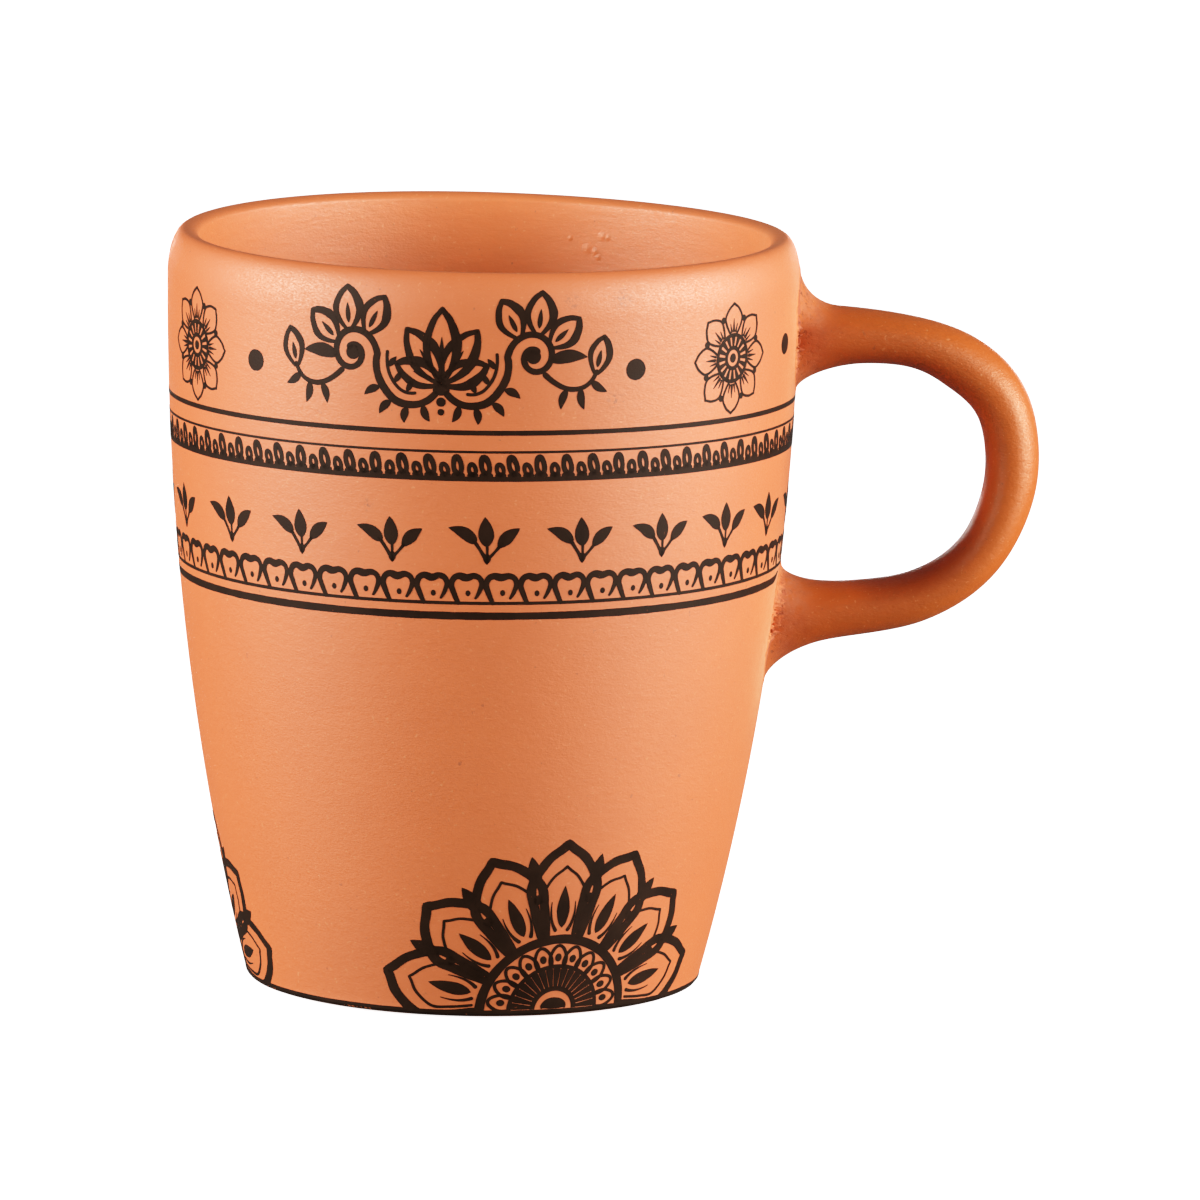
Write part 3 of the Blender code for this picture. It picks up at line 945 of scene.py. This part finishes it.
# ------------------------------------------------------------------ materials
class Nodes:
    """Small help for wiring a material."""

    def __init__(self, name):
        self.mat = bpy.data.materials.new(name)
        self.mat.use_nodes = True
        self.tree = self.mat.node_tree
        self.shader = self.tree.nodes["Principled BSDF"]

    def add(self, kind, **values):
        node = self.tree.nodes.new(kind)
        for key, value in values.items():
            setattr(node, key, value)
        return node

    def link(self, a, b):
        self.tree.links.new(a, b)

    def noise(self, scale, detail=3.0, rough=0.5, vector=None, lac=2.0):
        node = self.add("ShaderNodeTexNoise")
        node.inputs["Scale"].default_value = scale
        node.inputs["Detail"].default_value = detail
        node.inputs["Roughness"].default_value = rough
        node.inputs["Lacunarity"].default_value = lac
        self.link(vector or self.coords(), node.inputs["Vector"])
        return node.outputs["Fac"]

    def coords(self):
        if not hasattr(self, "_co"):
            self._co = self.add("ShaderNodeTexCoord").outputs["Object"]
        return self._co

    def flat_coords(self, squeeze=2.0):
        """Points squeezed upright, so that marks run round the cup."""
        node = self.add("ShaderNodeMapping")
        node.inputs["Scale"].default_value = (1.0, 1.0, squeeze)
        self.link(self.coords(), node.inputs["Vector"])
        return node.outputs["Vector"]

    def spot(self, point, radius):
        """One at a point, falling to nothing at the radius."""
        node = self.add("ShaderNodeVectorMath", operation="DISTANCE")
        self.link(self.coords(), node.inputs[0])
        node.inputs[1].default_value = tuple(point)
        return self.ramp(node.outputs["Value"], radius, 0.0)

    def most(self, values):
        total = values[0]
        for value in values[1:]:
            total = self.math("MAXIMUM", total, value)
        return total

    def ramp(self, value, a, b, lo=0.0, hi=1.0):
        node = self.add("ShaderNodeMapRange")
        node.inputs["From Min"].default_value = a
        node.inputs["From Max"].default_value = b
        node.inputs["To Min"].default_value = lo
        node.inputs["To Max"].default_value = hi
        self.link(value, node.inputs["Value"])
        return node.outputs["Result"]

    def mix(self, fac, a, b, blend="MIX"):
        node = self.add("ShaderNodeMix", data_type="RGBA", blend_type=blend)
        for socket, value in ((node.inputs[0], fac), (node.inputs[6], a),
                              (node.inputs[7], b)):
            if isinstance(value, (tuple, list)):
                socket.default_value = (*value, 1.0)
            elif isinstance(value, (int, float)):
                socket.default_value = value
            else:
                self.link(value, socket)
        return node.outputs[2]

    def math(self, op, a, b=0.0):
        node = self.add("ShaderNodeMath", operation=op)
        for socket, value in ((node.inputs[0], a), (node.inputs[1], b)):
            if isinstance(value, (int, float)):
                socket.default_value = value
            else:
                self.link(value, socket)
        return node.outputs[0]

    def bump(self, height, strength, distance, normal=None):
        node = self.add("ShaderNodeBump")
        node.inputs["Strength"].default_value = strength
        node.inputs["Distance"].default_value = distance
        self.link(height, node.inputs["Height"])
        if normal is not None:
            self.link(normal, node.inputs["Normal"])
        return node.outputs["Normal"]

    def attribute(self, name):
        return self.add("ShaderNodeAttribute", attribute_name=name
                        ).outputs["Fac"]


CLAY = (0.760, 0.168, 0.041)
CLAY_PALE = (0.860, 0.330, 0.130)
HANDLE_BASE = (0.585, 0.108, 0.011)
GLOSS_TINT = (1.0, 0.97, 0.84, 1.0)


def scaled(colour, k):
    return tuple(min(1.0, c * k) for c in colour)


def on_wall(phi, z):
    return to_world(skin(phi, z))


def on_inside(phi, z):
    p, r = math.radians(phi), float(inner_radius(z))
    return to_world((r * math.sin(p), -r * math.cos(p), z))


def clay_material(name, base, handle=False):
    """Unglazed fired clay: soft mottling, fine grain, pale and dark specks."""
    n = Nodes(name)
    cloud = n.noise(45.0, 4.0, 0.55)
    colour = n.mix(n.ramp(cloud, 0.30, 0.70), scaled(base, 0.95),
                   scaled(base, 1.05))
    patch = n.noise(170.0, 3.0, 0.5)
    colour = n.mix(n.ramp(patch, 0.50, 0.72, 0.0, 0.22), colour,
                   (base[0] * 0.93, base[1] * 0.84, base[2] * 0.75))
    grain = n.noise(3600.0, 3.0, 0.6)
    colour = n.mix(n.ramp(grain, 0.30, 0.70, 0.07, 0.21), colour,
                   (base[0] * 0.84, base[1] * 0.68, base[2] * 0.55))
    pale = n.noise(2300.0, 2.0, 0.4)
    colour = n.mix(n.ramp(pale, 0.67, 0.75, 0.0, 0.40), colour, CLAY_PALE)
    dark = n.noise(1300.0, 2.0, 0.4)
    colour = n.mix(n.ramp(dark, 0.73, 0.79, 0.0, 0.42), colour,
                   (0.23, 0.055, 0.018))
    fine = n.noise(2300.0, 3.0, 0.6, n.flat_coords())
    soft = n.noise(620.0, 3.0, 0.5, n.flat_coords())
    height = n.math("ADD", n.math("MULTIPLY", fine, 0.9),
                    n.math("MULTIPLY", soft, 0.9))
    gloss, sleek, dull, tint, tooth = 0.76, 0.43, 0.70, GLOSS_TINT, 0.36
    if handle:
        gloss, sleek, dull, tint = 0.62, 0.38, 0.60, (1.0, 0.93, 0.68, 1.0)
        tooth = 0.70
        # painted shade on the finger side, and painted light on the outer side and
        # over the whole bow
        colour = n.mix(n.ramp(n.attribute("inward"), 0.05, 0.85), colour,
                       (0.66, 0.56, 0.44), "MULTIPLY")
        colour = n.mix(n.ramp(n.attribute("outward"), 0.1, 0.9), colour,
                       (1.12, 1.15, 1.17), "MULTIPLY")
        # painted shade in the crease where each root meets the wall, broken up by
        # noise
        shade_breakup = n.noise(330.0, 5.0, 0.65)
        deep = n.math("MULTIPLY", n.attribute("deep"),
                      n.ramp(shade_breakup, 0.32, 0.58, 0.45, 1.0))
        colour = n.mix(deep, colour, (0.430, 0.060, 0.006))
        # thin pale slip washed over the roots, worn through in places
        film = n.noise(900.0, 5.0, 0.68)
        wash = n.math("MULTIPLY", n.attribute("wash"),
                      n.ramp(film, 0.36, 0.62, 0.12, 0.95))
        colour = n.mix(wash, colour, (0.535, 0.146, 0.064))
        # uneven near the roots: paler bloom on the slip, and darker blotches that
        # grow towards the wall
        root = n.attribute("root")
        bloom = n.math("MULTIPLY", n.attribute("wash"),
                       n.ramp(n.noise(520.0, 5.0, 0.70), 0.46, 0.66, 0.0, 0.75))
        colour = n.mix(bloom, colour, (0.60, 0.170, 0.075))
        root_darkening = n.math("MULTIPLY", root, n.ramp(n.noise(760.0, 4.0, 0.62), 0.52,
                                                0.70, 0.0, 0.75))
        colour = n.mix(root_darkening, colour, (0.385, 0.058, 0.009))
        # small torn pits close to the seam
        scar = n.math("MULTIPLY", n.math("POWER", root, 3.0),
                      n.ramp(n.noise(1900.0, 3.0, 0.55), 0.58, 0.66))
        colour = n.mix(scar, colour, (0.20, 0.034, 0.007))
        height = n.math("ADD", height, n.math("MULTIPLY", scar, -1.1))
    else:
        # the inside is paler, partly as unrubbed clay and partly as painted light
        colour = n.mix(n.attribute("pale"), colour, (1.17, 1.42, 1.58),
                       "MULTIPLY")
        # faint turning marks run round it
        marks = n.math("MULTIPLY", n.attribute("inside"),
                       n.ramp(n.noise(170.0, 4.0, 0.62, n.flat_coords(4.5)),
                              0.34, 0.66))
        colour = n.mix(marks, colour, (1.03, 1.055, 1.07), "MULTIPLY")
        height = n.math("ADD", height, n.math("MULTIPLY", marks, 0.7))
        # paler on the wall beside the roots
        paleness = n.math("MULTIPLY", n.attribute("paleness"),
                      n.ramp(n.noise(900.0, 4.0, 0.65), 0.32, 0.60, 0.55, 1.0))
        colour = n.mix(paleness, colour, (0.88, 0.40, 0.185))
        # a few faint smudges under the lip
        rub = n.math("MULTIPLY", n.most([n.spot(on_wall(*q), r * MM) for q, r in
                                         (((15.9, 92.0), 1.3),
                                          ((25.6, 92.1), 1.6),
                                          ((24.4, 79.6), 1.4),
                                          ((-21.0, 66.0), 1.0))]),
                     n.ramp(n.noise(2100.0, 3.0, 0.6), 0.48, 0.64))
        colour = n.mix(n.math("MULTIPLY", rub, 0.7), colour,
                       (0.20, 0.055, 0.020))
        # crumbs of clay fired onto the inside
        crumbs = n.most([n.spot(on_inside(phi, z), r * MM) for phi, z, r in
                         ((155.1, 90.5, 0.70), (158.4, 88.8, 0.80),
                          (154.0, 90.4, 0.50), (156.7, 88.5, 0.60),
                          (156.0, 87.8, 0.50), (162.2, 90.0, 0.40))])
        height = n.math("ADD", height, n.math("MULTIPLY", crumbs, 3.0))
        height = n.math("ADD", height, n.math("MULTIPLY", n.attribute("ridge"),
                                              0.70))
    n.link(colour, n.shader.inputs["Base Color"])
    rough = n.ramp(n.noise(2700.0, 3.0, 0.6, n.flat_coords()), 0.3, 0.7, sleek,
                   dull)
    if handle:
        # matt where the slip dried
        rough = n.math("MAXIMUM", rough, n.ramp(n.attribute("root"), 0.10, 0.75,
                                                0.30, 0.92))
    n.link(rough, n.shader.inputs["Roughness"])
    n.shader.inputs["IOR"].default_value = 1.7
    n.shader.inputs["Specular IOR Level"].default_value = gloss
    n.shader.inputs["Specular Tint"].default_value = tint
    n.link(n.bump(height, tooth, 0.00010), n.shader.inputs["Normal"])
    return n.mat


def ink_material(name):
    """Fired-on black, a little uneven, with clay showing at tiny pinholes."""
    n = Nodes(name)
    flow = n.noise(260.0, 4.0, 0.6)
    colour = n.mix(n.ramp(flow, 0.3, 0.7), (0.0150, 0.0058, 0.0024),
                   (0.0270, 0.0105, 0.0042))
    specks = n.noise(1900.0, 3.0, 0.55)
    colour = n.mix(n.ramp(specks, 0.71, 0.77, 0.0, 0.45), colour,
                   scaled(CLAY, 0.55))
    n.link(colour, n.shader.inputs["Base Color"])
    n.link(n.ramp(flow, 0.3, 0.7, 0.50, 0.62), n.shader.inputs["Roughness"])
    n.shader.inputs["Specular IOR Level"].default_value = 0.25
    n.shader.inputs["Specular Tint"].default_value = (1.0, 0.80, 0.66, 1.0)
    fine = n.noise(4200.0, 2.0, 0.6)
    n.link(n.bump(fine, 0.30, 0.00005), n.shader.inputs["Normal"])
    return n.mat


def slip_material(name):
    """Dried slip: pale and dusty towards the wall, pitted towards the handle."""
    n = Nodes(name)
    across = n.attribute("across")
    crumb = n.noise(1500.0, 4.0, 0.65)
    paleness = n.ramp(crumb, 0.36, 0.62)
    pale = n.mix(paleness, (0.72, 0.155, 0.038), (0.84, 0.270, 0.098))
    worn = n.mix(paleness, (0.46, 0.083, 0.018), (0.57, 0.135, 0.048))
    # the two meet along a torn edge
    tear = n.math("MULTIPLY", n.math("SUBTRACT", n.noise(2200.0, 3.0, 0.6), 0.5),
                  1.1)
    colour = n.mix(n.ramp(n.math("ADD", across, tear), 0.32, 0.72), pale, worn)
    pits = n.noise(1700.0, 3.0, 0.55)
    edge = n.ramp(across, 0.40, 0.75)
    colour = n.mix(n.math("MULTIPLY", n.ramp(pits, 0.58, 0.67, 0.0, 0.80), edge),
                   colour, (0.22, 0.037, 0.007))
    n.link(colour, n.shader.inputs["Base Color"])
    n.link(n.ramp(crumb, 0.3, 0.7, 0.60, 0.80), n.shader.inputs["Roughness"])
    rough = n.math("SUBTRACT", crumb, n.math("MULTIPLY", n.ramp(pits, 0.60, 0.70),
                                             0.9))
    n.link(n.bump(rough, 0.6, 0.00016), n.shader.inputs["Normal"])
    return n.mat


def floor_material(name):
    """A bright, even table top that keeps only a soft contact shadow."""
    n = Nodes(name)
    cloud = n.noise(3.0, 2.0, 0.5)
    colour = n.mix(n.ramp(cloud, 0.3, 0.7), (0.92, 0.92, 0.915),
                   (0.94, 0.94, 0.935))
    n.link(colour, n.shader.inputs["Base Color"])
    n.shader.inputs["Roughness"].default_value = 0.9
    n.shader.inputs["Specular IOR Level"].default_value = 0.1
    n.shader.inputs["Emission Color"].default_value = (1.0, 1.0, 1.0, 1.0)
    n.shader.inputs["Emission Strength"].default_value = 0.80
    return n.mat


# ------------------------------------------------------------------ assembly
BODY_CLAY = clay_material("terracotta_body", CLAY)
HANDLE_CLAY = clay_material("terracotta_handle", HANDLE_BASE, handle=True)
SLIP = slip_material("terracotta_slip_line")
INK = ink_material("fired_on_ink")

handle, RINGS = make_handle()
handle.data.materials.append(HANDLE_CLAY)
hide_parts("handle")
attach(handle, "root")

body = make_body()
paint_near_roots(body, ((RINGS[1], 0.6), (RINGS[-2], 1.0)))
body.data.materials.append(BODY_CLAY)
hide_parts("cup_body")
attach(body, "root")

for name, ring, node, seed, spread in (
        ("upper_slip_seam", RINGS[1:14], "upper_slip_joint", 0.7, 0.1),
        ("lower_slip_seam", RINGS[-2:-15:-1], "lower_slip_joint", 2.9, 0.75)):
    bead = make_seam(name, ring, seed, spread)
    bead.data.materials.append(SLIP)
    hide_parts(node)
    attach(bead, "root")

PRINTS = [
    print_lines(),
    print_loops(),
    print_sprigs(),
    print_scallops(),
    print_rosettes([(-63.6, 83.3, 1.16), (51.3, 83.3, 1.16),
                    (117.0, 83.3, 1.16), (231.0, 83.3, 1.16)]),
    print_dots([(-44.9, 82.85), (28.4, 83.1), (71.7, 83.56), (136.0, 83.1),
                (214.0, 83.1)]),
    print_scrolls([(-7.3, 77.5), (174.0, 77.5)]),
    print_medallions([(20.5, 0.95), (-99.5, 0.95), (140.5, 0.95)]),
]
for piece in PRINTS:
    piece.data.materials.append(INK)
    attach(piece, "root")

# ------------------------------------------------------------------ stage
floor_mesh = bpy.data.meshes.new("floor")
side = 6.0
floor_mesh.from_pydata([(-side, -side, 0), (side, -side, 0), (side, side, 0),
                        (-side, side, 0)], [], [(0, 1, 2, 3)])
floor = bpy.data.objects.new("floor", floor_mesh)
floor.location = (0.0, 0.0, -0.0002)
bpy.context.scene.collection.objects.link(floor)
floor.data.materials.append(floor_material("pale_floor"))
floor.visible_diffuse = False
floor.visible_glossy = False

world = bpy.data.worlds.new("studio")
world.use_nodes = True
sky = world.node_tree
sky_out = sky.nodes["World Output"]
fill = sky.nodes["Background"]
fill.inputs["Color"].default_value = (1.0, 1.0, 1.0, 1.0)
fill.inputs["Strength"].default_value = 0.085
# the backdrop itself is plain white
backdrop = sky.nodes.new("ShaderNodeBackground")
backdrop.inputs["Color"].default_value = (1.0, 1.0, 1.0, 1.0)
backdrop.inputs["Strength"].default_value = 1.0
seen = sky.nodes.new("ShaderNodeLightPath")
pick = sky.nodes.new("ShaderNodeMixShader")
sky.links.new(seen.outputs["Is Camera Ray"], pick.inputs[0])
sky.links.new(fill.outputs[0], pick.inputs[1])
sky.links.new(backdrop.outputs[0], pick.inputs[2])
sky.links.new(pick.outputs[0], sky_out.inputs["Surface"])
bpy.context.scene.world = world


def soft_box(name, azimuth, elevation, distance, width, height, power):
    """A large soft lamp; azimuth in degrees from the front, + to the right."""
    data = bpy.data.lights.new(name, "AREA")
    data.shape = "RECTANGLE"
    data.size = width
    data.size_y = height
    data.energy = power
    lamp = bpy.data.objects.new(name, data)
    a, e = math.radians(azimuth), math.radians(elevation)
    middle = Vector((AXIS_X * MM, 0.0, 0.05))
    way = Vector((math.sin(a) * math.cos(e), -math.cos(a) * math.cos(e),
                  math.sin(e)))
    lamp.location = middle + way * distance
    lamp.rotation_mode = "QUATERNION"
    lamp.rotation_quaternion = way.to_track_quat("Z", "Y")
    lamp.visible_camera = False
    bpy.context.scene.collection.objects.link(lamp)
    return lamp


soft_box("left_box", -72, 13, 1.1, 0.9, 0.6, 13.4)
soft_box("right_box", 73, 11, 1.1, 1.1, 0.6, 16.2)
# low strip behind, which keeps off the rim
soft_box("back_box", 180, 0, 1.4, 1.2, 0.08, 3.5)

# camera: where the photograph was taken from, aimed a little to the right
cam_data = bpy.data.cameras.new("camera")
cam_data.sensor_width = 36.0
cam_data.lens = 11980.0 / 1200.0 * 36.0
cam_data.clip_start, cam_data.clip_end = 0.05, 50.0
camera = bpy.data.objects.new("camera", cam_data)
eye = Vector((0.0, -1500.0, 299.4))
look = (Vector((0.0, 0.0, 47.7)) - eye).normalized()
across = Vector((1.0, 0.0, 0.0))
upward = across.cross(look)
ROLL = 0.0168
dx, dy = 600.0 - 478.6, 600.0 - 603.7
c, s = math.cos(ROLL), math.sin(ROLL)
u, v = c * dx + s * dy, -s * dx + c * dy
aim = (look + across * (u / 11980.0) - upward * (v / 11980.0)).normalized()
right = across * c + upward * s
right = (right - aim * right.dot(aim)).normalized()
top = right.cross(aim)
camera.matrix_world = Matrix((
    (right.x, top.x, -aim.x, (eye.x + AXIS_X) * MM),
    (right.y, top.y, -aim.y, eye.y * MM),
    (right.z, top.z, -aim.z, eye.z * MM),
    (0.0, 0.0, 0.0, 1.0)))
bpy.context.scene.collection.objects.link(camera)
bpy.context.scene.camera = camera

view = bpy.context.scene.view_settings
view.view_transform = "Standard"
view.look = "None"
# a photographic tone curve: soft shoulder, slight toe
view.use_curve_mapping = True
tone = view.curve_mapping
SHOULDER, TOE = 2.0, 1.2
curve = tone.curves[3]
for x in (0.02, 0.06, 0.12, 0.20, 0.30, 0.42, 0.56, 0.72, 0.86):
    lit = (1 - math.exp(-SHOULDER * x)) / (1 - math.exp(-SHOULDER))
    curve.points.new(x, lit ** TOE)
tone.update()

bpy.context.view_layer.update()
